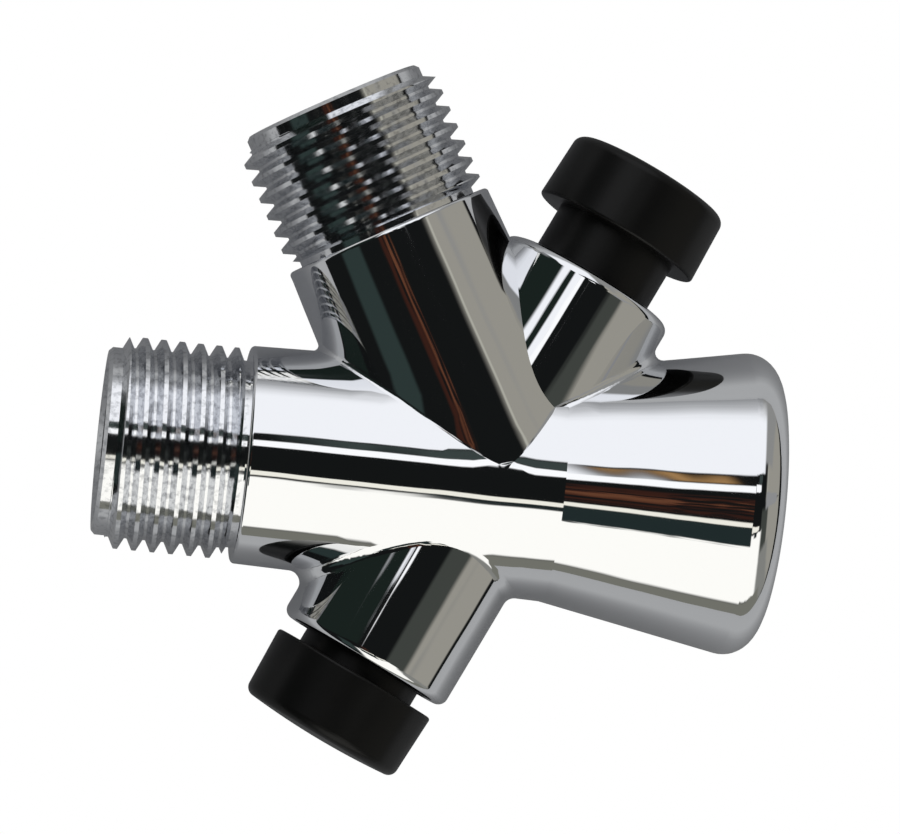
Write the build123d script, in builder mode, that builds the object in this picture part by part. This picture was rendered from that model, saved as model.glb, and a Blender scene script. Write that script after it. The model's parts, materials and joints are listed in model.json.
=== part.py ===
from build123d import *
import math
import os

# Push-button three way valve: one chrome-plated casting with a flared female inlet, two male
# outlets and a cross barrel, in which a shuttle with a rubber disc slides between two seats.
# All sizes are in millimetres. The axes of the three tubes lie in the XY plane, the origin is
# the centre of the inlet mouth, +X points out of the mouth and +Z is square to the axes' plane.

# --- Pipe thread, G 1/2 -------------------------------------------------------------------
thread_pitch = 25.4 / 14
thread_flank = 27.5
thread_flat = 0.25
male_crest_r = 10.4
male_root_r = 9.3
female_crest_r = 9.35
female_root_r = 10.5
groove_overcut = 0.25
groove_end_space = 0.1
groove_end_angle = 150

# --- Outlets ------------------------------------------------------------------------------
outlet_thread_length = 13.8
lead_ring_length = 1.3
relief_length = 0.6
thread_end_r = 9.2
tip_chamfer = 0.35
crest_bevel = 0.6
tip_root = 1.0
outlet_bore_r = 7.6
outlet_bore_chamfer = 0.5
shoulder_round = 0.4

# --- Main tube, from the inlet mouth to the in-line outlet's tip ------------------------------
main_length = 66.0
neck_r_at_shoulder = 10.7
bell_length = 21.5
bell_root_r = 11.5
bell_mouth_r = 15.6
bell_rim_round = 3.0
bell_junction_round = 0.8

# --- Hose outlet ----------------------------------------------------------------------------
hose_cross_x = -26.75
hose_angle = 60.6
hose_length = 40.65
hose_r_at_shoulder = 10.6
hose_r_at_root = 11.3
hose_junction_round = 0.5

# --- Cross barrel ---------------------------------------------------------------------------
barrel_cross_x = -29.25
barrel_angle = 64.6
barrel_bore_r = 7.7
barrel_wall = 1.4
upper_reach = 22.7
lower_reach = 21.0
barrel_rim_round = 1.0
barrel_mouth_chamfer = 0.25
barrel_junction_round = 1.2

# --- Inlet ----------------------------------------------------------------------------------
inlet_thread_depth = 13.0
inlet_undercut_r = 10.6
inlet_undercut_length = 2.6
inlet_lead_in = 1.3
inlet_bore_r = 7.5
inlet_port_r = 3.3
casting_wall = 1.3
outlet_port_r = 3.3
port_breakthrough = 0.4

# --- Shuttle --------------------------------------------------------------------------------
stroke = 3.5
upper_gap = 5.0
lower_gap = 1.45
button_r = 8.65
button_top_r = 8.4
button_height = 6.9
button_dome = 0.45
button_round = 1.0
button_under_round = 0.3
stem_length = 9.35
stem_end_chamfer = 0.4
rod_r = 2.0
rod_grip = 8.0
rod_end_chamfer = 0.4
insert_r = 3.3
insert_length = 9.0
insert_waist_depth = 0.35
disc_side_space = 1.5
disc_thickness = 2.4
disc_round = 0.3
backing_r = 3.6
backing_thickness = 0.8
rod_collar_r = 3.0
rod_collar_length = 1.0
clip_r = 3.3
clip_thickness = 0.6
clip_groove_depth = 0.5

# --- Seat sleeves ---------------------------------------------------------------------------
sleeve_wall = 1.25
seat_port_r = 4.3
seat_lip_width = 0.7
seat_lip_height = 0.4
seat_ring_length = 3.3
window_count = 4
window_width = 6.0
waist_depth = 0.4
window_to_stem = 0.6
sleeve_end_inset = 1.5

# --- O-rings, washers and rings ---------------------------------------------------------------
static_groove_width = 1.3
static_groove_depth = 0.8
inner_groove_inset = 1.1
outer_groove_inset = 2.4
plunger_groove_width = 1.6
plunger_groove_depth = 1.0
plunger_groove_inset = 0.9
seal_side_space = 0.2
seal_roundness = 0.45
retaining_thickness = 0.9
retaining_groove_width = 1.0
retaining_groove_depth = 0.55
retaining_ring_width = 1.45
retaining_gap = 5.0
screen_thickness = 0.5
screen_hole_r = 0.65
screen_ring_pitch = 1.9
screen_rings = 3
washer_thickness = 2.0
washer_hole_r = 6.7

# --- Fits and clearances ----------------------------------------------------------------------
sleeve_clearance = 0.05
stem_clearance = 0.10
plunger_clearance = 0.02
seal_clearance = 0.02
ring_clearance = 0.05
thread_clearance = 0.03
disc_preload_gap = 0.01

# --- Frames: the local x axis of each runs along its tube, outwards ---------------------------
hose_dir = Vector(-math.cos(math.radians(hose_angle)), math.sin(math.radians(hose_angle)), 0)
barrel_dir = Vector(math.cos(math.radians(barrel_angle)), math.sin(math.radians(barrel_angle)), 0)
main_frame = Plane.XY
outlet_frame = Plane(origin=(0, 0, 0), x_dir=(-1, 0, 0), z_dir=(0, 0, 1))
hose_frame = Plane(origin=(hose_cross_x, 0, 0), x_dir=hose_dir, z_dir=(0, 0, 1))
upper_frame = Plane(origin=(barrel_cross_x, 0, 0), x_dir=barrel_dir, z_dir=(0, 0, 1))
lower_frame = Plane(origin=(barrel_cross_x, 0, 0), x_dir=barrel_dir * -1, z_dir=(0, 0, 1))

# --- Places worked out from the sizes above ----------------------------------------------------
# Distances along the cross barrel are from where it crosses the main tube. At rest the lower button
# is pushed in and the disc stands at the upper seat, so the upper stem can move in by the stroke.
barrel_r = barrel_bore_r + barrel_wall
retaining_groove_r = barrel_bore_r + retaining_groove_depth
sleeve_r = barrel_bore_r - sleeve_clearance
guide_r = sleeve_r - sleeve_wall
stem_r = guide_r - stem_clearance
disc_r = barrel_bore_r - disc_side_space
disc_top = (disc_thickness + stroke) / 2
seat_at = disc_top + disc_preload_gap
window_start = seat_at + seat_ring_length
upper_under = upper_reach + upper_gap
lower_under = lower_reach + lower_gap
upper_stem_end = upper_under - stem_length
lower_stem_end = lower_under - stem_length
upper_window_end = upper_stem_end - stroke - window_to_stem
lower_window_end = lower_stem_end - window_to_stem
upper_sleeve_end = upper_reach - sleeve_end_inset
lower_sleeve_end = lower_reach - sleeve_end_inset


def tube_axis(frame):
    """The axis of revolution of a tube's frame."""
    return Axis(frame.origin, frame.x_dir)


def ring_outline(start, end, inner, outer):
    """Corners of a plain rectangular section between two distances and two radii."""
    return [(start, inner), (end, inner), (end, outer), (start, outer)]


def turned(frame, outline):
    """A closed outline of (distance along, radius) points, turned about the frame's x axis."""
    with BuildPart() as piece:
        with BuildSketch(frame):
            with BuildLine():
                Polyline(*outline, close=True)
            make_face()
        revolve(axis=tube_axis(frame))
    return piece.part


def groove_half_mouth(depth):
    """Half the width of the V groove at its open side."""
    return thread_flat / 2 + depth * math.tan(math.radians(thread_flank))


def across(frame, at):
    """The plane square to a tube at a distance along it, with its own x axis on the frame's y axis."""
    return Plane(origin=frame.from_local_coords((at, 0, 0)), x_dir=frame.y_dir, z_dir=frame.x_dir)


def along(frame, at):
    """The same frame moved along its own x axis."""
    return Plane(origin=frame.from_local_coords((at, 0, 0)), x_dir=frame.x_dir, z_dir=frame.z_dir)


def thread_groove(frame, start, length, root_r, depth):
    """A helical V groove about the frame's x axis; a negative depth opens inwards, as in a nut."""
    foot_plane = across(frame, start)
    half_root = thread_flat / 2
    half_mouth = groove_half_mouth(abs(depth))
    with BuildPart() as groove:
        with BuildLine(foot_plane) as path:
            Helix(pitch=thread_pitch, height=length, radius=root_r, direction=frame.x_dir)
        foot = path.line @ 0
        section = Plane(origin=foot, x_dir=foot - foot_plane.origin, z_dir=path.line % 0)
        with BuildSketch(section):
            with BuildLine():
                Polyline(
                    (0, -half_root),
                    (depth, -half_mouth),
                    (depth, half_mouth),
                    (0, half_root),
                    close=True,
                )
            make_face()
        sweep(path=path.line, is_frenet=True)
    return groove.part


def circles_of(part, radius):
    """The circular edges of one radius."""
    circles = part.edges().filter_by(GeomType.CIRCLE)
    return circles.filter_by(lambda edge: math.isclose(edge.radius, radius))


def radial_port(frame, at, radius, reach, side):
    """A round port square to a barrel frame, from its axis out to the reach; side is +1 for local +y."""
    square = Plane(origin=frame.from_local_coords((at, 0, 0)), z_dir=frame.y_dir * side)
    with BuildPart() as port:
        with BuildSketch(square):
            Circle(radius)
        extrude(amount=reach)
    return port.part


def outlet_outline(length, shoulder_r, root_r, root_at):
    """Half section of an outlet's tube, from its root in the body to the shoulder behind its thread."""
    shoulder = length - outlet_thread_length
    return [(root_at, 0), (root_at, root_r), (shoulder, shoulder_r), (shoulder, 0)]


# --- Valve body -------------------------------------------------------------------------------
# One casting: four turned shapes joined, rounded where they meet, then bored, ported and threaded.
main_outline = outlet_outline(main_length, neck_r_at_shoulder, bell_root_r, bell_length)
hose_outline = outlet_outline(hose_length, hose_r_at_shoulder, hose_r_at_root, 0)
bell_outline = [(0, 0), (0, bell_mouth_r), (bell_length, bell_root_r), (bell_length, 0)]

# The outlets lean away from the barrel, and the hose outlet's axis starts a little to one side of it.
main_lean = math.radians(barrel_angle)
hose_lean = math.radians(180 - hose_angle - barrel_angle)
hose_along = (hose_cross_x - barrel_cross_x) * math.cos(main_lean)
hose_aside = (hose_cross_x - barrel_cross_x) * math.sin(main_lean)


def bore_stop(lean, bore_r, aside=0):
    """Where a leaning bore stops, one casting wall short of the barrel's own bore."""
    return (barrel_bore_r + casting_wall + bore_r * math.cos(lean) + aside) / math.sin(lean)


def port_reach(lean, stop, port_at, along=0, aside=0):
    """How far a port runs from the barrel's axis to break through a leaning bore's flat end."""
    middle = along + stop * math.cos(lean)
    slope = (port_at - outlet_port_r - middle) / math.tan(lean)
    return stop * math.sin(lean) - aside - slope + port_breakthrough


def outlet_bore(frame, stop, length):
    """An outlet's bore from its flat end to the tip, with a chamfered mouth."""
    mouth_r = outlet_bore_r + outlet_bore_chamfer
    corners = [
        (stop, 0),
        (length, 0),
        (length, mouth_r),
        (length - outlet_bore_chamfer, outlet_bore_r),
        (stop, outlet_bore_r),
    ]
    return turned(frame, corners)


def retaining_groove(frame, sleeve_end):
    """The groove for a snap ring, just outside a sleeve's end."""
    groove_end = sleeve_end + retaining_groove_width
    return turned(frame, ring_outline(sleeve_end, groove_end, 0, retaining_groove_r))


main_bore_stop = bore_stop(main_lean, outlet_bore_r)
hose_bore_stop = bore_stop(hose_lean, outlet_bore_r, hose_aside)
inlet_bore_stop = bore_stop(main_lean, inlet_bore_r)
upper_port_at = (window_start + upper_window_end) / 2
lower_port_at = (window_start + lower_window_end) / 2
upper_port_reach = port_reach(hose_lean, hose_bore_stop, upper_port_at, hose_along, hose_aside)
lower_port_reach = port_reach(main_lean, main_bore_stop, lower_port_at)

barrel_bore_outline = [
    (-lower_reach, 0),
    (-lower_reach, barrel_bore_r + barrel_mouth_chamfer),
    (-lower_reach + barrel_mouth_chamfer, barrel_bore_r),
    (upper_reach - barrel_mouth_chamfer, barrel_bore_r),
    (upper_reach, barrel_bore_r + barrel_mouth_chamfer),
    (upper_reach, 0),
]

# The inlet port runs beside the main axis, so that it opens into the barrel's bore between the seats.
inlet_end_x = barrel_cross_x + inlet_bore_stop
inlet_port_y = -barrel_bore_r * math.cos(main_lean)
inlet_port_length = inlet_end_x - barrel_cross_x - inlet_port_y / math.tan(main_lean)
inlet_outline = [
    (inlet_end_x, 0),
    (inlet_end_x, inlet_bore_r),
    (-inlet_thread_depth, inlet_bore_r),
    (-inlet_thread_depth, inlet_undercut_r),
    (inlet_undercut_length - inlet_thread_depth, inlet_undercut_r),
    (inlet_undercut_length - inlet_thread_depth, female_crest_r),
    (-inlet_lead_in, female_crest_r),
    (0, female_crest_r + inlet_lead_in),
    (0, 0),
]
female_depth = female_root_r - female_crest_r + groove_overcut
female_margin = groove_half_mouth(female_depth) + groove_end_space
female_start = female_margin - inlet_thread_depth

# The threaded end of both outlets, made about its own x axis with the shoulder at x = 0: a plain
# cylinder is grooved from end to end, bevelled at both ends and then put on its core.
crest_start = relief_length
crest_end = outlet_thread_length - lead_ring_length
male_depth = male_crest_r - male_root_r + groove_overcut
male_margin = groove_half_mouth(male_depth) + groove_end_space
male_groove_length = crest_end - crest_start + 2 * male_margin
groove_start_angle = groove_end_angle - 360 * male_groove_length / thread_pitch
bevel_rise = male_crest_r - thread_end_r
core_outline = [
    (-tip_root, 0),
    (-tip_root, thread_end_r),
    (outlet_thread_length - tip_chamfer, thread_end_r),
    (outlet_thread_length, thread_end_r - tip_chamfer),
    (outlet_thread_length, 0),
]


def crest_bevel_cut(at, inwards):
    """The wedge that bevels one end of the threaded cylinder; inwards is +1 or -1 along x."""
    corners = [
        (at, thread_end_r),
        (at, male_crest_r + bevel_rise),
        (at + 2 * crest_bevel * inwards, male_crest_r + bevel_rise),
    ]
    return turned(Plane.XY, corners)


with BuildPart() as outlet_tip:
    add(turned(Plane.XY, ring_outline(crest_start, crest_end, 0, male_crest_r)))
    male_groove = thread_groove(
        Plane.XY, crest_start - male_margin, male_groove_length, male_root_r, male_depth
    )
    add(male_groove.rotate(Axis.X, groove_start_angle), mode=Mode.SUBTRACT)
    add(crest_bevel_cut(crest_start, 1), mode=Mode.SUBTRACT)
    add(crest_bevel_cut(crest_end, -1), mode=Mode.SUBTRACT)
    add(turned(Plane.XY, core_outline))

with BuildPart() as valve_body:
    add(turned(outlet_frame, main_outline))
    add(turned(outlet_frame, bell_outline))
    add(turned(hose_frame, hose_outline))
    add(turned(upper_frame, ring_outline(-lower_reach, upper_reach, 0, barrel_r)))

    junctions = valve_body.edges().filter_by(GeomType.BSPLINE)
    lower_junction = junctions.filter_by(lambda edge: edge.center().Y < 0)
    hose_junction = (junctions - lower_junction).sort_by(Axis.X)[:2]
    bell_junction = junctions.sort_by(Axis.X)[-1:]
    fillet(lower_junction, barrel_junction_round)
    fillet(hose_junction, hose_junction_round)
    fillet(bell_junction, bell_junction_round)

    fillet(circles_of(valve_body, barrel_r), barrel_rim_round)
    fillet(circles_of(valve_body, bell_mouth_r), bell_rim_round)
    fillet(circles_of(valve_body, neck_r_at_shoulder), shoulder_round)
    fillet(circles_of(valve_body, hose_r_at_shoulder), shoulder_round)

    with Locations(
        along(outlet_frame, main_length - outlet_thread_length),
        along(hose_frame, hose_length - outlet_thread_length),
    ):
        add(outlet_tip.part)

    add(turned(upper_frame, barrel_bore_outline), mode=Mode.SUBTRACT)
    add(retaining_groove(upper_frame, upper_sleeve_end), mode=Mode.SUBTRACT)
    add(retaining_groove(lower_frame, lower_sleeve_end), mode=Mode.SUBTRACT)
    add(outlet_bore(outlet_frame, main_bore_stop - barrel_cross_x, main_length), mode=Mode.SUBTRACT)
    add(outlet_bore(hose_frame, hose_bore_stop, hose_length), mode=Mode.SUBTRACT)
    add(turned(main_frame, inlet_outline), mode=Mode.SUBTRACT)

    add(radial_port(upper_frame, upper_port_at, outlet_port_r, upper_port_reach, 1), mode=Mode.SUBTRACT)
    add(radial_port(lower_frame, lower_port_at, outlet_port_r, lower_port_reach, -1), mode=Mode.SUBTRACT)
    with BuildSketch(Plane.YZ.offset(inlet_end_x)):
        with Locations((inlet_port_y, 0)):
            Circle(inlet_port_r)
    extrude(amount=-inlet_port_length, mode=Mode.SUBTRACT)

    female_length = female_margin - female_start
    female_groove = thread_groove(main_frame, female_start, female_length, female_root_r, -female_depth)
    add(female_groove, mode=Mode.SUBTRACT)


# --- Inlet screen and washer ---------------------------------------------------------------------
# Both lie at the bottom of the inlet's thread, and pass through its crests.
inlet_stack_r = female_crest_r - ring_clearance * 2
screen_seat = -inlet_thread_depth

with BuildPart() as inlet_screen:
    with BuildSketch(Plane.YZ.offset(screen_seat)):
        Circle(inlet_stack_r)
        Circle(screen_hole_r, mode=Mode.SUBTRACT)
        for ring in range(1, screen_rings + 1):
            with PolarLocations(ring * screen_ring_pitch, 6 * ring):
                Circle(screen_hole_r, mode=Mode.SUBTRACT)
    extrude(amount=screen_thickness)

with BuildPart() as inlet_washer:
    with BuildSketch(Plane.YZ.offset(screen_seat + screen_thickness)):
        Circle(inlet_stack_r)
        Circle(washer_hole_r, mode=Mode.SUBTRACT)
    extrude(amount=washer_thickness)


# --- Seat sleeves ----------------------------------------------------------------------------------
def groove_outline(start, width, outer, depth):
    """The four corners of a groove cut into a turned piece's outside."""
    return [(start, outer), (start, outer - depth), (start + width, outer - depth), (start + width, outer)]


def seat_sleeve(frame, window_end, end):
    """A sleeve with a seat at its inner end, windows behind it and a guide bore for the button's stem."""
    lip_r = seat_port_r + seat_lip_width
    face = seat_at + seat_lip_height
    outer_groove = end - outer_groove_inset - static_groove_width
    outline = [
        (seat_at, seat_port_r),
        (seat_at, lip_r),
        (face, lip_r),
        (face, sleeve_r),
        *groove_outline(seat_at + inner_groove_inset, static_groove_width, sleeve_r, static_groove_depth),
        *groove_outline(window_start, window_end - window_start, sleeve_r, waist_depth),
        *groove_outline(outer_groove, static_groove_width, sleeve_r, static_groove_depth),
        (end, sleeve_r),
        (end, guide_r),
        (window_start, guide_r),
        (window_start, seat_port_r),
    ]
    with BuildPart() as sleeve:
        add(turned(frame, outline))
        with BuildSketch(across(frame, window_start)):
            with PolarLocations((guide_r + sleeve_r) / 2, window_count):
                Rectangle(sleeve_r - seat_port_r, window_width)
        extrude(amount=window_end - window_start, mode=Mode.SUBTRACT)
    return sleeve.part


def seal_ring(frame, middle, width, inner, outer):
    """An O-ring as it sits squeezed in its groove: a flattened section turned about the frame's axis."""
    height = outer - inner
    with BuildPart() as ring:
        with BuildSketch(frame):
            with Locations((middle, (inner + outer) / 2)):
                RectangleRounded(width, height, height * seal_roundness)
        revolve(axis=tube_axis(frame))
    return ring.part


def static_seal(frame, groove_start):
    """The O-ring of a sleeve's groove, between the groove's floor and the barrel's bore."""
    return seal_ring(
        frame,
        groove_start + static_groove_width / 2,
        static_groove_width - seal_side_space,
        sleeve_r - static_groove_depth + seal_clearance,
        barrel_bore_r - seal_clearance,
    )


def snap_ring(frame, sleeve_end):
    """An open spring ring in the barrel's groove, against a sleeve's end."""
    outer = retaining_groove_r - ring_clearance
    inner = outer - retaining_ring_width
    with BuildPart() as ring:
        add(turned(frame, ring_outline(sleeve_end, sleeve_end + retaining_thickness, inner, outer)))
        with BuildSketch(across(frame, sleeve_end)):
            with Locations((0, -outer)):
                Rectangle(retaining_gap, outer)
        extrude(amount=retaining_thickness, mode=Mode.SUBTRACT)
    return ring.part


# --- Buttons ----------------------------------------------------------------------------------------
def insert_space(frame, stem_end):
    """The space of a button's insert: a plug with a waist that locks it in the plastic."""
    waist = insert_length / 3
    outline = [
        (stem_end, 0),
        (stem_end, insert_r),
        *groove_outline(stem_end + waist, waist, insert_r, insert_waist_depth),
        (stem_end + insert_length, insert_r),
        (stem_end + insert_length, 0),
    ]
    return turned(frame, outline)


def button_insert(frame, stem_end):
    """A brass insert with a blind hole for the end of the rod."""
    hole_end = stem_end + rod_grip + thread_clearance
    hole_r = rod_r + thread_clearance
    with BuildPart() as insert:
        add(insert_space(frame, stem_end))
        add(turned(frame, ring_outline(stem_end, hole_end, 0, hole_r)), mode=Mode.SUBTRACT)
    return insert.part


def push_button(frame, stem_end, under):
    """A mushroom cap and its stem in one moulding, with a groove for the plunger O-ring."""
    top = under + button_height
    with BuildPart() as button:
        with BuildSketch(frame):
            with BuildLine():
                Polyline(
                    (top + button_dome, 0),
                    (stem_end, 0),
                    (stem_end, stem_r - stem_end_chamfer),
                    (stem_end + stem_end_chamfer, stem_r),
                    *groove_outline(
                        stem_end + plunger_groove_inset, plunger_groove_width, stem_r, plunger_groove_depth
                    ),
                    (under, stem_r),
                    (under, button_r),
                    (top, button_top_r),
                )
                ThreePointArc(
                    (top, button_top_r),
                    (top + button_dome * 3 / 4, button_top_r / 2),
                    (top + button_dome, 0),
                )
            make_face()
        revolve(axis=tube_axis(frame))
        fillet(circles_of(button, button_top_r), button_round)
        fillet(circles_of(button, button_r), button_under_round)
        add(insert_space(frame, stem_end), mode=Mode.SUBTRACT)
    return button.part


def plunger_seal(frame, stem_end):
    """The O-ring in a stem's groove, which slides in the sleeve's guide bore."""
    return seal_ring(
        frame,
        stem_end + plunger_groove_inset + plunger_groove_width / 2,
        plunger_groove_width - seal_side_space,
        stem_r - plunger_groove_depth + seal_clearance,
        guide_r - plunger_clearance,
    )


ends = {
    "upper": (upper_frame, upper_window_end, upper_sleeve_end, upper_stem_end, upper_under),
    "lower": (lower_frame, lower_window_end, lower_sleeve_end, lower_stem_end, lower_under),
}
pieces = {}
for side, (frame, window_end, sleeve_end, stem_end, under) in ends.items():
    outer_groove = sleeve_end - outer_groove_inset - static_groove_width
    pieces[side + "_seat_sleeve"] = seat_sleeve(frame, window_end, sleeve_end)
    pieces[side + "_sleeve_inner_oring"] = static_seal(frame, seat_at + inner_groove_inset)
    pieces[side + "_sleeve_outer_oring"] = static_seal(frame, outer_groove)
    pieces[side + "_retaining_ring"] = snap_ring(frame, sleeve_end)
    pieces[side + "_button_insert"] = button_insert(frame, stem_end)
    pieces[side + "_button"] = push_button(frame, stem_end, under)
    pieces[side + "_plunger_oring"] = plunger_seal(frame, stem_end)


# --- Shuttle rod, disc and what holds it ---------------------------------------------------------------
disc_foot = disc_top - disc_thickness
collar_top = disc_foot - backing_thickness
clip_foot = disc_top + backing_thickness

with BuildPart() as shuttle_rod:
    rod_outline = [
        (-lower_stem_end - rod_grip, 0),
        (-lower_stem_end - rod_grip, rod_r - rod_end_chamfer),
        (-lower_stem_end - rod_grip + rod_end_chamfer, rod_r),
        (collar_top - rod_collar_length, rod_r),
        (collar_top - rod_collar_length, rod_collar_r),
        (collar_top, rod_collar_r),
        (collar_top, rod_r),
        *groove_outline(clip_foot, clip_thickness + ring_clearance, rod_r, clip_groove_depth),
        (upper_stem_end + rod_grip - rod_end_chamfer, rod_r),
        (upper_stem_end + rod_grip, rod_r - rod_end_chamfer),
        (upper_stem_end + rod_grip, 0),
    ]
    add(turned(upper_frame, rod_outline))

with BuildPart() as valve_disc:
    add(turned(upper_frame, ring_outline(disc_foot, disc_top, rod_r + seal_clearance, disc_r)))
    fillet(circles_of(valve_disc, disc_r), disc_round)

backing_hole_r = rod_r + ring_clearance
pieces["upper_backing_washer"] = turned(
    upper_frame, ring_outline(disc_top, clip_foot, backing_hole_r, backing_r)
)
pieces["lower_backing_washer"] = turned(
    upper_frame, ring_outline(collar_top, disc_foot, backing_hole_r, backing_r)
)

with BuildPart() as disc_clip:
    clip_inner_r = rod_r - clip_groove_depth + thread_clearance
    add(turned(upper_frame, ring_outline(clip_foot, clip_foot + clip_thickness, clip_inner_r, clip_r)))
    with BuildSketch(across(upper_frame, clip_foot)):
        with Locations((0, -clip_r / 2)):
            Rectangle(clip_inner_r * 2, clip_r)
    extrude(amount=clip_thickness, mode=Mode.SUBTRACT)

pieces["valve_body"] = valve_body.part
pieces["inlet_screen"] = inlet_screen.part
pieces["inlet_washer"] = inlet_washer.part
pieces["shuttle_rod"] = shuttle_rod.part
pieces["valve_disc"] = valve_disc.part
pieces["disc_clip"] = disc_clip.part

os.makedirs("parts", exist_ok=True)
for name, piece in pieces.items():
    piece.label = name
    export_step(piece, f"parts/{name}.step")
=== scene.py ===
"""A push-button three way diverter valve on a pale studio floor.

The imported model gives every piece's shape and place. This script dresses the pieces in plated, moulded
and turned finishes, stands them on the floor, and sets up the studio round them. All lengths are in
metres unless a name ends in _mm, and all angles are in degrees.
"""

import json
import logging
import math
from dataclasses import dataclass, field
from enum import Enum

import bmesh
import bpy
from mathutils import Matrix, Vector

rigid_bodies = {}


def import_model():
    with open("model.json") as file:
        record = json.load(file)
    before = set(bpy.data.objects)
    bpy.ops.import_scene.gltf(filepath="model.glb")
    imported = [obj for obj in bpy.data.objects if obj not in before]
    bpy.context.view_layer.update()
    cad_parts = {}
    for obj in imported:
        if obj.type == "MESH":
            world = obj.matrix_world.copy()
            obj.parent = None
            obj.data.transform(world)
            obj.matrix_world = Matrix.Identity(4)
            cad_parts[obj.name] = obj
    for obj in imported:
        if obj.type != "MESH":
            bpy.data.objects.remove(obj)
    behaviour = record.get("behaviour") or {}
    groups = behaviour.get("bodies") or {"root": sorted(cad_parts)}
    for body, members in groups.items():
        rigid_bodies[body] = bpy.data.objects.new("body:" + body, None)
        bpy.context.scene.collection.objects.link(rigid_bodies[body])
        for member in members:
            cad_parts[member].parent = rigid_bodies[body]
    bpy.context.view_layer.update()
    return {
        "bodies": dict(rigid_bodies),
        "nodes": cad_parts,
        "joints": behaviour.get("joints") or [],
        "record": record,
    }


MM = 0.001
LOG = logging.getLogger("three_way_valve")

Colour = tuple[float, float, float]
Triple = tuple[float, float, float]


class Slot(Enum):
    """The finishes that the valve's record names."""

    CHROME = "chrome"
    PLASTIC = "black_plastic"
    RUBBER = "black_rubber"
    BRASS = "brass"
    STAINLESS = "stainless"


# --- Node building ------------------------------------------------------------------------------------


class Nodes:
    """A small writer for one node tree, which keeps the calls that add and join nodes short."""

    def __init__(self, tree: bpy.types.NodeTree) -> None:
        """Take over a tree.

        Args:
            tree: The node tree to write in.
        """
        self.tree = tree

    def add(self, kind: str, **settings: object) -> bpy.types.Node:
        """Add a node and set its plain settings.

        Args:
            kind: The node's type name.
            settings: Attributes of the node, such as operation.

        Returns:
            The new node.
        """
        node = self.tree.nodes.new(kind)
        for name, value in settings.items():
            setattr(node, name, value)
        return node

    def feed(self, socket: bpy.types.NodeSocket, value: object) -> None:
        """Give a socket its value, as a link or as a plain value.

        Args:
            socket: The input to feed.
            value: Another node's output, a number or a tuple.
        """
        if isinstance(value, bpy.types.NodeSocket):
            self.tree.links.new(value, socket)
        else:
            socket.default_value = value

    def maths(self, operation: str, *values: object) -> bpy.types.NodeSocket:
        """A Math node on up to three values.

        Args:
            operation: The operation's name.
            values: Outputs or numbers, in order.

        Returns:
            The result's socket.
        """
        node = self.add("ShaderNodeMath", operation=operation)
        for socket, value in zip(node.inputs, values):
            self.feed(socket, value)
        return node.outputs[0]

    def place(self) -> bpy.types.NodeSocket:
        """The object coordinates' socket."""
        return self.add("ShaderNodeTexCoord").outputs["Object"]

    def dot(self, vector: bpy.types.NodeSocket, axis: object) -> bpy.types.NodeSocket:
        """The part of a vector along an axis.

        Args:
            vector: The vector's socket.
            axis: The axis, as a vector or as a socket.

        Returns:
            The dot product's socket.
        """
        node = self.add("ShaderNodeVectorMath", operation="DOT_PRODUCT")
        self.feed(node.inputs[0], vector)
        self.feed(node.inputs[1], axis)
        return node.outputs["Value"]

    def remap(
        self, value: bpy.types.NodeSocket, low: float, high: float, out_low: float, out_high: float
    ) -> bpy.types.NodeSocket:
        """A smooth Map Range from one span to another, clamped at both ends.

        Args:
            value: The value's socket.
            low: Where the change starts.
            high: Where the change ends.
            out_low: The result up to the start.
            out_high: The result from the end on.

        Returns:
            The result's socket.
        """
        node = self.add("ShaderNodeMapRange", interpolation_type="SMOOTHSTEP")
        for name, number in (
            ("From Min", low),
            ("From Max", high),
            ("To Min", out_low),
            ("To Max", out_high),
        ):
            node.inputs[name].default_value = number
        self.feed(node.inputs["Value"], value)
        return node.outputs["Result"]

    def noise(self, place: object, scale: float, detail: float = 2.0) -> bpy.types.NodeSocket:
        """A plain noise value.

        Args:
            place: The coordinates' socket.
            scale: Cells per metre, or per unit of the coordinates.
            detail: How many finer layers are added.

        Returns:
            The noise value's socket.
        """
        node = self.add("ShaderNodeTexNoise")
        self.feed(node.inputs["Vector"], place)
        node.inputs["Scale"].default_value = scale
        node.inputs["Detail"].default_value = detail
        return node.outputs["Fac"]

    def mix(self, share: object, first: object, second: object) -> bpy.types.NodeSocket:
        """A colour mix.

        Args:
            share: How much of the second colour shows.
            first: A colour or a socket.
            second: A colour or a socket.

        Returns:
            The mixed colour's socket.
        """
        node = self.add("ShaderNodeMix", data_type="RGBA")
        self.feed(node.inputs["Factor"], share)
        for socket, value in zip([s for s in node.inputs if s.type == "RGBA"], (first, second)):
            self.feed(socket, value if isinstance(value, bpy.types.NodeSocket) else (*value, 1.0))
        return next(s for s in node.outputs if s.type == "RGBA")

    def group(self, tree: bpy.types.NodeTree, **values: object) -> bpy.types.Node:
        """Place a node group and feed its inputs by name.

        Args:
            tree: The group's tree.
            values: Input names, with underscores for spaces, and their values.

        Returns:
            The group's node.
        """
        node = self.add("ShaderNodeGroup", node_tree=tree)
        for name, value in values.items():
            self.feed(node.inputs[name.replace("_", " ")], value)
        return node


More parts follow.
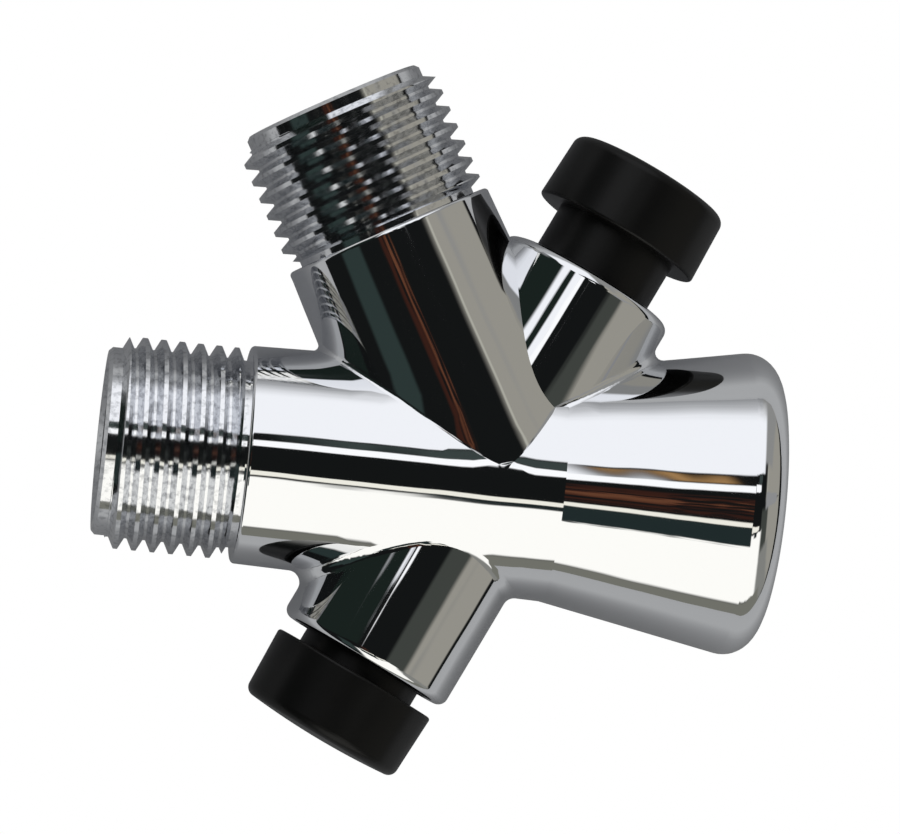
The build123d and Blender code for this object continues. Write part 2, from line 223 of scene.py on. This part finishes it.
def new_group(name: str, inputs: dict[str, str], outputs: dict[str, str]) -> tuple[Nodes, dict, dict]:
    """Start a shader node group with named sockets.

    Args:
        name: The group's name.
        inputs: Input names and their kinds, Float, Vector or Color.
        outputs: Output names and their kinds.

    Returns:
        The group's writer, its input sockets by name, and its output sockets by name.
    """
    tree = bpy.data.node_groups.new(name, "ShaderNodeTree")
    for direction, sockets in (("INPUT", inputs), ("OUTPUT", outputs)):
        for socket_name, kind in sockets.items():
            tree.interface.new_socket(name=socket_name, in_out=direction, socket_type="NodeSocket" + kind)
    nodes = Nodes(tree)
    entry = nodes.add("NodeGroupInput")
    way_out = nodes.add("NodeGroupOutput")
    return (
        nodes,
        {s.name: s for s in entry.outputs if s.name},
        {s.name: s for s in way_out.inputs if s.name},
    )


# --- Effects that several finishes share ----------------------------------------------------------------


@dataclass(frozen=True)
class Effects:
    """The node groups that the finishes and the studio share."""

    strip: bpy.types.NodeTree
    surface: bpy.types.NodeTree
    turning: bpy.types.NodeTree
    beyond: bpy.types.NodeTree

    @staticmethod
    def build() -> "Effects":
        """Make every group once.

        Returns:
            The set of groups.
        """
        return Effects(
            strip=Effects.make_strip(),
            surface=Effects.make_surface(),
            turning=Effects.make_turning(),
            beyond=Effects.make_beyond(),
        )

    @staticmethod
    def make_strip() -> bpy.types.NodeTree:
        """A mask that is 1 between two values, with soft edges.

        Returns:
            The group's tree.
        """
        nodes, entry, way_out = new_group(
            "soft_strip",
            {"Value": "Float", "From": "Float", "To": "Float", "From Edge": "Float", "To Edge": "Float"},
            {"Mask": "Float"},
        )
        above = nodes.maths("SUBTRACT", entry["Value"], entry["From"])
        below = nodes.maths("SUBTRACT", entry["To"], entry["Value"])
        rise = nodes.maths("DIVIDE", above, entry["From Edge"])
        fall = nodes.maths("DIVIDE", below, entry["To Edge"])
        mask = nodes.maths(
            "MULTIPLY", nodes.remap(rise, -0.5, 0.5, 0.0, 1.0), nodes.remap(fall, -0.5, 0.5, 0.0, 1.0)
        )
        nodes.feed(way_out["Mask"], mask)
        return nodes.tree

    @staticmethod
    def make_surface() -> bpy.types.NodeTree:
        """The slow waves and the fine grain that every made surface has.

        Returns:
            The group's tree, which puts out a height and a slow 0 to 1 variation.
        """
        nodes, entry, way_out = new_group(
            "waves_and_grain",
            {
                "Wave Scale": "Float",
                "Wave Height": "Float",
                "Grain Scale": "Float",
                "Grain Height": "Float",
            },
            {"Height": "Float", "Variation": "Float"},
        )
        place = nodes.place()
        wave = nodes.add("ShaderNodeTexNoise")
        grain = nodes.add("ShaderNodeTexNoise")
        for node, name, detail in ((wave, "Wave", 1.0), (grain, "Grain", 3.0)):
            nodes.feed(node.inputs["Vector"], place)
            nodes.feed(node.inputs["Scale"], entry[name + " Scale"])
            node.inputs["Detail"].default_value = detail
        height = nodes.maths(
            "MULTIPLY_ADD",
            grain.outputs["Fac"],
            entry["Grain Height"],
            nodes.maths("MULTIPLY", wave.outputs["Fac"], entry["Wave Height"]),
        )
        nodes.feed(way_out["Height"], height)
        nodes.feed(way_out["Variation"], wave.outputs["Fac"])
        return nodes.tree

    @staticmethod
    def make_turning() -> bpy.types.NodeTree:
        """Fine rings left by a turning tool, square to an axis.

        Returns:
            The group's tree, which puts out a height.
        """
        nodes, entry, way_out = new_group(
            "turning_rings",
            {"Axis": "Vector", "Rings": "Float", "Ring Height": "Float"},
            {"Height": "Float", "Variation": "Float"},
        )
        reach = nodes.dot(nodes.place(), entry["Axis"])
        rings = nodes.add("ShaderNodeTexNoise", noise_dimensions="1D")
        nodes.feed(rings.inputs["W"], reach)
        nodes.feed(rings.inputs["Scale"], entry["Rings"])
        rings.inputs["Detail"].default_value = 2.0
        nodes.feed(way_out["Height"], nodes.maths("MULTIPLY", rings.outputs["Fac"], entry["Ring Height"]))
        nodes.feed(way_out["Variation"], rings.outputs["Fac"])
        return nodes.tree

    @staticmethod
    def make_beyond() -> bpy.types.NodeTree:
        """A mask that is 1 past a plane.

        Returns:
            The group's tree.
        """
        nodes, entry, way_out = new_group(
            "past_a_plane",
            {"Axis": "Vector", "Distance": "Float", "Softness": "Float"},
            {"Mask": "Float"},
        )
        reach = nodes.dot(nodes.place(), entry["Axis"])
        past = nodes.maths("DIVIDE", nodes.maths("SUBTRACT", reach, entry["Distance"]), entry["Softness"])
        nodes.feed(way_out["Mask"], nodes.remap(past, 0.0, 1.0, 0.0, 1.0))
        return nodes.tree


# --- Finishes -------------------------------------------------------------------------------------------


def new_material(name: str) -> tuple[bpy.types.Material, Nodes, bpy.types.Node]:
    """Start a material with one Principled shader.

    Args:
        name: The material's name.

    Returns:
        The material, its writer and its shader node.
    """
    material = bpy.data.materials.new(name)
    material.use_nodes = True
    nodes = Nodes(material.node_tree)
    return material, nodes, material.node_tree.nodes["Principled BSDF"]


def bump(nodes: Nodes, shader: bpy.types.Node, height: bpy.types.NodeSocket) -> None:
    """Feed a height in metres to a shader's normal.

    Args:
        nodes: The material's writer.
        shader: The Principled shader.
        height: The height's socket.
    """
    node = nodes.add("ShaderNodeBump")
    node.inputs["Distance"].default_value = 1.0
    node.inputs["Strength"].default_value = 1.0
    nodes.feed(node.inputs["Height"], height)
    nodes.feed(shader.inputs["Normal"], node.outputs["Normal"])


@dataclass(frozen=True)
class ThreadZone:
    """A stretch of the casting that carries a thread: everything past a distance along an axis."""

    axis: Triple
    start: float


@dataclass(frozen=True)
class ChromePlate:
    """Bright chrome on a polished casting, with coarser plate where the threads are cut."""

    threads: tuple[ThreadZone, ...]
    name: str = "chrome_plate"
    colour: Colour = (0.80, 0.81, 0.83)
    dark_colour: Colour = (0.52, 0.53, 0.55)
    roughness: float = 0.03
    thread_roughness: float = 0.085
    wave_scale: float = 80.0
    wave_height_mm: float = 0.14
    grain_scale: float = 4200.0
    thread_grain_mm: float = 0.0010
    pit_scale: float = 1680.0
    edge_softness_mm: float = 0.4

    def make(self, effects: Effects) -> bpy.types.Material:
        """Build the material.

        Args:
            effects: The shared node groups.

        Returns:
            The chrome material.
        """
        material, nodes, shader = new_material(self.name)
        zone: object = 0.0
        for thread in self.threads:
            past = nodes.group(
                effects.beyond,
                Axis=thread.axis,
                Distance=thread.start,
                Softness=self.edge_softness_mm * MM,
            )
            zone = nodes.maths("MAXIMUM", zone, past.outputs["Mask"])
        surface = nodes.group(
            effects.surface,
            Wave_Scale=self.wave_scale,
            Wave_Height=self.wave_height_mm * MM,
            Grain_Scale=self.grain_scale,
            Grain_Height=nodes.maths("MULTIPLY", zone, self.thread_grain_mm * MM),
        )
        pits = nodes.remap(nodes.noise(nodes.place(), self.pit_scale), 0.45, 0.75, 0.0, 1.0)
        dull = nodes.maths("MULTIPLY", zone, pits)
        nodes.feed(shader.inputs["Base Color"], nodes.mix(dull, self.colour, self.dark_colour))
        low, high = self.roughness * 0.7, self.roughness * 1.3
        smooth = nodes.remap(surface.outputs["Variation"], 0.2, 0.8, low, high)
        rough = nodes.maths("MULTIPLY_ADD", zone, self.thread_roughness - self.roughness, smooth)
        nodes.feed(shader.inputs["Roughness"], rough)
        shader.inputs["Metallic"].default_value = 1.0
        bump(nodes, shader, surface.outputs["Height"])
        return material


@dataclass(frozen=True)
class MouldedBlack:
    """A black moulded surface, in hard plastic or in rubber."""

    name: str
    colour: Colour = (0.0035, 0.0035, 0.0035)
    rubbed_colour: Colour = (0.006, 0.006, 0.0058)
    roughness: float = 0.33
    specular: float = 0.20
    grain_scale: float = 3200.0
    grain_height_mm: float = 0.004
    wave_scale: float = 120.0
    wave_height_mm: float = 0.010

    def make(self, effects: Effects) -> bpy.types.Material:
        """Build the material.

        Args:
            effects: The shared node groups.

        Returns:
            The black material.
        """
        material, nodes, shader = new_material(self.name)
        surface = nodes.group(
            effects.surface,
            Wave_Scale=self.wave_scale,
            Wave_Height=self.wave_height_mm * MM,
            Grain_Scale=self.grain_scale,
            Grain_Height=self.grain_height_mm * MM,
        )
        variation = surface.outputs["Variation"]
        nodes.feed(shader.inputs["Base Color"], nodes.mix(variation, self.colour, self.rubbed_colour))
        rough = nodes.remap(variation, 0.25, 0.75, self.roughness * 0.88, self.roughness * 1.12)
        nodes.feed(shader.inputs["Roughness"], rough)
        shader.inputs["Specular IOR Level"].default_value = self.specular
        bump(nodes, shader, surface.outputs["Height"])
        return material


@dataclass(frozen=True)
class TurnedMetal:
    """A bare metal with the rings of the lathe on it."""

    name: str
    axis: Triple
    colour: Colour
    dark_colour: Colour
    roughness: float = 0.26
    rings: float = 9000.0
    ring_height_mm: float = 0.006
    wave_scale: float = 260.0

    def make(self, effects: Effects) -> bpy.types.Material:
        """Build the material.

        Args:
            effects: The shared node groups.

        Returns:
            The metal material.
        """
        material, nodes, shader = new_material(self.name)
        rings = nodes.group(
            effects.turning, Axis=self.axis, Rings=self.rings, Ring_Height=self.ring_height_mm * MM
        )
        surface = nodes.group(effects.surface, Wave_Scale=self.wave_scale)
        variation = surface.outputs["Variation"]
        nodes.feed(shader.inputs["Base Color"], nodes.mix(variation, self.colour, self.dark_colour))
        rough = nodes.remap(variation, 0.3, 0.7, self.roughness * 0.8, self.roughness * 1.25)
        nodes.feed(shader.inputs["Roughness"], rough)
        shader.inputs["Metallic"].default_value = 1.0
        bump(nodes, shader, rings.outputs["Height"])
        return material


# --- Sub-assemblies -------------------------------------------------------------------------------------


@dataclass
class SubAssembly:
    """A named group of the valve's pieces that share one dressing."""

    frame: dict
    finishes: dict[Slot, bpy.types.Material]
    nodes: tuple[str, ...] = ()

    def dress(self) -> None:
        """Give each of the group's nodes the finish that the record names for it."""
        slots = {part["node"]: Slot(part["material_slot"]) for part in self.frame["record"]["subparts"]}
        for name in self.nodes:
            piece = self.frame["nodes"][name]
            finish = self.finishes[slots[name]]
            piece.data.materials.clear()
            piece.data.materials.append(finish)
            LOG.info("%s: %s in %s", type(self).__name__, name, finish.name)


@dataclass
class Casting(SubAssembly):
    """The plated body with its three threads and the cross barrel."""

    nodes: tuple[str, ...] = ("valve_body",)


@dataclass
class InletFilter(SubAssembly):
    """The screen and the flat washer at the bottom of the inlet's thread."""

    nodes: tuple[str, ...] = ("inlet_screen", "inlet_washer")


@dataclass
class SeatEnd(SubAssembly):
    """One end of the barrel: the seat sleeve, its two O-rings and its snap ring."""

    side: str = "upper"

    def __post_init__(self) -> None:
        """Name the four pieces of this side."""
        kinds = ("seat_sleeve", "sleeve_inner_oring", "sleeve_outer_oring", "retaining_ring")
        self.nodes = tuple(f"{self.side}_{kind}" for kind in kinds)


@dataclass
class Shuttle(SubAssembly):
    """The rod, the disc and its washers, and both push buttons."""

    def __post_init__(self) -> None:
        """Name the pieces that slide together."""
        middle = ("shuttle_rod", "valve_disc", "disc_clip")
        sides = ("backing_washer", "button", "button_insert", "plunger_oring")
        self.nodes = middle + tuple(f"{end}_{kind}" for end in ("upper", "lower") for kind in sides)


# --- Studio ---------------------------------------------------------------------------------------------


@dataclass(frozen=True)
class Card:
    """A glowing or dark card round the valve, placed by two angles seen from it.

    rise is the angle from the lens towards the top of the view, and side is the angle towards its
    right; a rise of 90 is straight up in the view. The edges say how softly each end fades,
    patches, from 0 to 1, breaks the card up, and ripple bends its long edges by so many degrees.
    """

    name: str
    colour: Colour
    rise: tuple[float, float]
    side: tuple[float, float]
    rise_edges: tuple[float, float]
    side_edges: tuple[float, float]
    patches: float = 0.0
    ripple: float = 0.0


@dataclass
class Studio:
    """The pale floor, the cards and lights, and the camera."""

    frame: dict
    effects: Effects
    target_mm: Triple = (-32.0, 5.72, 0.0)
    distance_mm: float = 444.8
    back: Triple = (-0.1127, -0.0263, 0.9933)
    view_up: Triple = (-0.1006, 0.9948, 0.0150)
    lens_mm: float = 180.6
    sensor_mm: float = 36.0
    clip: tuple[float, float] = (0.01, 50.0)
    lamp_size: float = 0.9
    lamp_energy: float = 2.0
    lamp_place: Triple = (-0.4, 0.5, 0.8)
    end_reach_mm: tuple[float, float] = (12.0, 25.0)
    floor_side: float = 12.0
    floor_seen: float = 1.0
    floor_mirrored: float = 0.20
    backdrop_colour: Colour = (1.0, 1.0, 1.0)
    room_colour: Colour = (0.008, 0.009, 0.009)
    # The floor's painted glow to what mirrors it: dark painted shade near the valve for its shadow, grey
    # painted light farther off.
    near_painted_shade_colour: Colour = (0.085, 0.088, 0.095)
    far_painted_glow_colour: Colour = (0.33, 0.335, 0.34)
    painted_shade_reach: tuple[float, float] = (0.030, 0.10)
    edge_waver: float = 5.0
    waver_scale: float = 9.0
    ripple_scale: float = 42.0
    patch_scale: float = 26.0
    patch_detail: float = 4.0
    patch_edge: float = 0.05
    cards: tuple[Card, ...] = field(
        default_factory=lambda: (
            Card("left_panel", (0.030, 0.046, 0.043), (-60, -9), (-52, -33), (8, 6), (4, 4)),
            Card("left_dusk", (0.012, 0.019, 0.016), (9, 70), (-70, -12), (6, 8), (6, 6)),
            Card("upper_rest", (0.26, 0.265, 0.27), (62, 130), (-40, 50), (20, 6), (10, 10)),
            Card("right_shade", (0.060, 0.066, 0.058), (-100, -6), (24, 46), (6, 6), (5, 5)),
            Card("right_wall", (0.36, 0.345, 0.30), (-100, -2), (45, 95), (6, 6), (5, 5)),
            Card("high_wall", (0.36, 0.345, 0.30), (2, 100), (36, 95), (6, 6), (9, 5)),
            Card("wall_edge", (0.50, 0.49, 0.42), (4, 60), (37, 39), (6, 6), (1.5, 1.5)),
            Card("rim_glow", (0.32, 0.32, 0.32), (-7, 9), (36, 80), (4, 4), (6, 6)),
            Card("upper_cheek", (0.30, 0.30, 0.29), (34, 100), (14, 52), (8, 12), (8, 8)),
            Card("lower_cheek", (0.26, 0.26, 0.24), (-100, -40), (14, 52), (12, 8), (8, 8)),
            Card("upper_box", (1.08, 1.09, 1.12), (24.5, 79), (-26, 26), (2.5, 26), (4, 7), ripple=3.0),
            Card("lower_box", (1.22, 1.20, 1.13), (-79, -21.5), (-30, 26), (4, 2), (7, 7)),
            Card("bell_fill", (1.08, 1.09, 1.12), (13, 27), (-12, -5.0), (1.5, 2), (2, 1.5), ripple=3.0),
            Card("slit_grey", (0.05, 0.065, 0.062), (16.5, 23), (10, 18), (2, 3), (2, 3), ripple=3.0),
            Card("lower_hem", (0.20, 0.20, 0.17), (-98, -80), (-40, 36), (3, 3), (7, 7)),
            Card("teal_strip", (0.018, 0.029, 0.029), (-31, -15), (-24, 2), (2, 1.5), (2, 2), ripple=5.0),
            Card("teal_wedge", (0.015, 0.022, 0.022), (-25, -20), (6.5, 12), (2, 1), (3, 2)),
            Card("bell_line", (1.2, 1.2, 1.2), (10.0, 15.0), (-6.7, -1), (1.2, 1.2), (0.8, 1)),
            Card("tube_line", (1.2, 1.2, 1.2), (9.5, 16.0), (5.0, 15), (1.2, 1.2), (1, 3)),
            Card("lower_line", (1.05, 1.02, 0.90), (-20, -16), (2.5, 18), (1, 1), (1.5, 4)),
            Card("bell_hem", (1.05, 1.02, 0.90), (-15.5, -11.5), (-20, 2), (1, 1), (4, 1.5)),
            Card("brown_bench", (0.045, 0.016, 0.011), (-9, 6), (-13, -3), (3, 3), (3, 2), 0.45),
            Card("warm_things", (0.15, 0.058, 0.030), (-4, 2), (-9, -2), (2, 2), (2, 2), 0.52),
            Card("warm_sliver", (0.44, 0.25, 0.10), (16, 23), (-4.4, -3.6), (2, 2), (1, 0.8)),
        )
    )

    def basis(self) -> tuple[Vector, Vector, Vector]:
        """Square up the view's directions.

        Returns:
            The right, up and back directions.
        """
        back = Vector(self.back).normalized()
        right = Vector(self.view_up).cross(back).normalized()
        return right, back.cross(right), back

    def build(self) -> None:
        """Make the floor, the light and the camera."""
        self.make_floor()
        self.make_world()
        self.make_lights()
        self.make_camera()

    def support_points(self) -> tuple[Vector, Vector, Vector]:
        """Find what the valve rests on: the bell's rim and both threaded tips.

        Returns:
            The lowest point near each of the three ends.
        """
        body = self.frame["nodes"]["valve_body"].data.vertices
        mounts = {mount["name"]: mount for mount in self.frame["record"]["mounts"]}
        depth, radius = (reach * MM for reach in self.end_reach_mm)
        lowest = []
        for name in ("inlet_face", "inline_outlet_face", "hose_outlet_face"):
            centre, axis = Vector(mounts[name]["pos_m"]), Vector(mounts[name]["axis"])
            arms = [vertex.co - centre for vertex in body]
            near = [arm + centre for arm in arms if arm.dot(axis) > -depth and arm.length < radius]
            lowest.append(min(near, key=lambda point: point.z))
        return tuple(lowest)

    def make_floor(self) -> None:
        """Lay a large floor through the three points that the valve rests on."""
        first, second, third = self.support_points()
        normal = (second - first).cross(third - first).normalized()
        if normal.z < 0:
            normal = -normal
        mesh = bpy.data.meshes.new("floor")
        grid = bmesh.new()
        bmesh.ops.create_grid(grid, x_segments=8, y_segments=8, size=self.floor_side / 2)
        grid.to_mesh(mesh)
        grid.free()
        floor = bpy.data.objects.new("floor", mesh)
        bpy.context.scene.collection.objects.link(floor)
        target = Vector(self.target_mm) * MM
        foot = target - normal * (target - first).dot(normal)
        turn = normal.to_track_quat("Z", "Y").to_matrix().to_4x4()
        floor.matrix_world = Matrix.Translation(foot) @ turn
        mesh.materials.append(self.floor_material())
        LOG.info("Studio: floor %.1f degrees off level", math.degrees(normal.angle(Vector((0, 0, 1)))))

    def floor_material(self) -> bpy.types.Material:
        """A white sheet to the lens, and to what mirrors it a grey painted glow with painted shade,
        darker near the valve where it stands in for the valve's shadow on the floor.

        Returns:
            The floor's material.
        """
        material = bpy.data.materials.new("floor_sheet")
        material.use_nodes = True
        nodes = Nodes(material.node_tree)
        material.node_tree.nodes.clear()
        seen = nodes.add("ShaderNodeEmission")
        seen.inputs["Strength"].default_value = self.floor_seen
        shade = nodes.add("ShaderNodeBsdfDiffuse")
        shade.inputs["Color"].default_value = (self.floor_mirrored,) * 3 + (1.0,)
        # Painted light and shade: the floor glows to reflections though it is no lamp, and the glow is
        # darkened near the point under the valve as a painted shadow of the valve.
        reach = nodes.add("ShaderNodeVectorMath", operation="DISTANCE")
        nodes.feed(reach.inputs[0], nodes.place())
        nodes.feed(reach.inputs[1], (0.0, 0.0, 0.0))
        painted_shade_fade = nodes.remap(reach.outputs["Value"], *self.painted_shade_reach, 0.0, 1.0)
        glow = nodes.add("ShaderNodeEmission")
        nodes.feed(glow.inputs["Color"], nodes.mix(painted_shade_fade, self.near_painted_shade_colour, self.far_painted_glow_colour))
        mirrored = nodes.add("ShaderNodeAddShader")
        nodes.feed(mirrored.inputs[0], shade.outputs[0])
        nodes.feed(mirrored.inputs[1], glow.outputs[0])
        choice = nodes.add("ShaderNodeMixShader")
        nodes.feed(choice.inputs[0], nodes.add("ShaderNodeLightPath").outputs["Is Camera Ray"])
        nodes.feed(choice.inputs[1], mirrored.outputs[0])
        nodes.feed(choice.inputs[2], seen.outputs[0])
        nodes.feed(nodes.add("ShaderNodeOutputMaterial").inputs["Surface"], choice.outputs[0])
        return material

    def make_world(self) -> None:
        """Hang the cards round the valve as a procedural sky, and show the lens a plain white one."""
        world = bpy.data.worlds.new("studio")
        world.use_nodes = True
        bpy.context.scene.world = world
        nodes = Nodes(world.node_tree)
        world.node_tree.nodes.clear()
        right, up, back = self.basis()
        towards = nodes.add("ShaderNodeTexCoord").outputs["Generated"]
        turn = nodes.maths("ARCTAN2", nodes.dot(towards, up), nodes.dot(towards, back))
        rise = nodes.maths("DEGREES", turn)
        side = nodes.maths("DEGREES", nodes.maths("ARCSINE", nodes.dot(towards, right)))
        waver = nodes.maths("SUBTRACT", nodes.noise(towards, self.waver_scale), 0.5)
        ripple = nodes.maths("SUBTRACT", nodes.noise(towards, self.ripple_scale), 0.5)
        rise = nodes.maths("MULTIPLY_ADD", waver, self.edge_waver, rise)
        colour: object = self.room_colour
        for card in self.cards:
            bent = nodes.maths("MULTIPLY_ADD", ripple, card.ripple, rise) if card.ripple else rise
            mask = self.card_mask(nodes, card, bent, side)
            if card.patches:
                cloud = nodes.noise(towards, self.patch_scale, self.patch_detail)
                low, high = card.patches - self.patch_edge, card.patches + self.patch_edge
                patch = nodes.remap(cloud, low, high, 0.0, 1.0)
                mask = nodes.maths("MULTIPLY", mask, patch)
            colour = nodes.mix(mask, colour, card.colour)
        lit = nodes.add("ShaderNodeBackground")
        nodes.feed(lit.inputs["Color"], colour)
        seen = nodes.add("ShaderNodeBackground")
        seen.inputs["Color"].default_value = (*self.backdrop_colour, 1.0)
        choice = nodes.add("ShaderNodeMixShader")
        nodes.feed(choice.inputs[0], nodes.add("ShaderNodeLightPath").outputs["Is Camera Ray"])
        nodes.feed(choice.inputs[1], lit.outputs[0])
        nodes.feed(choice.inputs[2], seen.outputs[0])
        nodes.feed(nodes.add("ShaderNodeOutputWorld").inputs["Surface"], choice.outputs[0])
        LOG.info("Studio: %d cards", len(self.cards))

    def card_mask(
        self, nodes: Nodes, card: Card, rise: bpy.types.NodeSocket, side: bpy.types.NodeSocket
    ) -> bpy.types.NodeSocket:
        """Where a card shows.

        Args:
            nodes: The world's writer.
            card: The card.
            rise: The rise angle's socket.
            side: The side angle's socket.

        Returns:
            The mask's socket.
        """
        masks = [
            nodes.group(
                self.effects.strip,
                Value=angle,
                From=span[0],
                To=span[1],
                From_Edge=edges[0],
                To_Edge=edges[1],
            ).outputs["Mask"]
            for angle, span, edges in (
                (rise, card.rise, card.rise_edges),
                (side, card.side, card.side_edges),
            )
        ]
        return nodes.maths("MULTIPLY", *masks)

    def make_lights(self) -> None:
        """Add one large soft lamp over the valve, which no surface mirrors."""
        right, up, back = self.basis()
        lamp = bpy.data.lights.new("soft_lamp", "AREA")
        lamp.shape = "DISK"
        lamp.size = self.lamp_size
        lamp.energy = self.lamp_energy
        lamp_object = bpy.data.objects.new("soft_lamp", lamp)
        bpy.context.scene.collection.objects.link(lamp_object)
        target = Vector(self.target_mm) * MM
        place = target + right * self.lamp_place[0] + up * self.lamp_place[1] + back * self.lamp_place[2]
        direction = (target - place).to_track_quat("-Z", "Y")
        lamp_object.matrix_world = Matrix.Translation(place) @ direction.to_matrix().to_4x4()
        lamp_object.visible_glossy = False
        lamp_object.visible_camera = False

    def make_camera(self) -> None:
        """Place the camera and let it show the colours as they are."""
        right, up, back = self.basis()
        camera = bpy.data.cameras.new("camera")
        camera.lens = self.lens_mm
        camera.sensor_width = self.sensor_mm
        camera.clip_start, camera.clip_end = self.clip
        camera_object = bpy.data.objects.new("camera", camera)
        bpy.context.scene.collection.objects.link(camera_object)
        turn = Matrix((right, up, back)).transposed().to_4x4()
        place = Vector(self.target_mm) * MM + back * (self.distance_mm * MM)
        camera_object.matrix_world = Matrix.Translation(place) @ turn
        bpy.context.scene.camera = camera_object
        bpy.context.scene.view_settings.view_transform = "Standard"


# --- The whole scene ------------------------------------------------------------------------------------


def thread_zones(frame: dict) -> tuple[ThreadZone, ...]:
    """Where the two outlets' threads start, from the record's mounts.

    Args:
        frame: The loaded frame.

    Returns:
        One zone for each outlet.
    """
    zones = []
    for mount in frame["record"]["mounts"]:
        if mount["name"].endswith("outlet_thread"):
            axis = Vector(mount["axis"])
            start = Vector(mount["pos_m"]).dot(axis) - mount["dims"]["length_mm"] * MM
            zones.append(ThreadZone(tuple(axis), start))
    return tuple(zones)


def make_finishes(frame: dict, effects: Effects) -> dict[Slot, bpy.types.Material]:
    """Build every finish once.

    Args:
        frame: The loaded frame.
        effects: The shared node groups.

    Returns:
        The materials by the record's slots.
    """
    barrel = tuple(frame["joints"][0]["axis"])
    makers = {
        Slot.CHROME: ChromePlate(threads=thread_zones(frame)),
        Slot.PLASTIC: MouldedBlack("satin_black_plastic"),
        Slot.RUBBER: MouldedBlack("black_rubber", roughness=0.55, specular=0.3, grain_height_mm=0.006),
        Slot.BRASS: TurnedMetal("turned_brass", barrel, (0.72, 0.53, 0.26), (0.60, 0.42, 0.19)),
        Slot.STAINLESS: TurnedMetal("turned_stainless", barrel, (0.62, 0.62, 0.61), (0.50, 0.50, 0.49)),
    }
    return {slot: maker.make(effects) for slot, maker in makers.items()}


def main() -> None:
    """Dress the valve and build the studio."""
    logging.basicConfig(level=logging.INFO, format="%(name)s %(message)s")
    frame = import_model()
    effects = Effects.build()
    finishes = make_finishes(frame, effects)
    assemblies = [
        Casting(frame, finishes),
        InletFilter(frame, finishes),
        SeatEnd(frame, finishes, side="upper"),
        SeatEnd(frame, finishes, side="lower"),
        Shuttle(frame, finishes),
    ]
    for assembly in assemblies:
        assembly.dress()
    Studio(frame, effects).build()


if __name__ == "__main__":
    main()
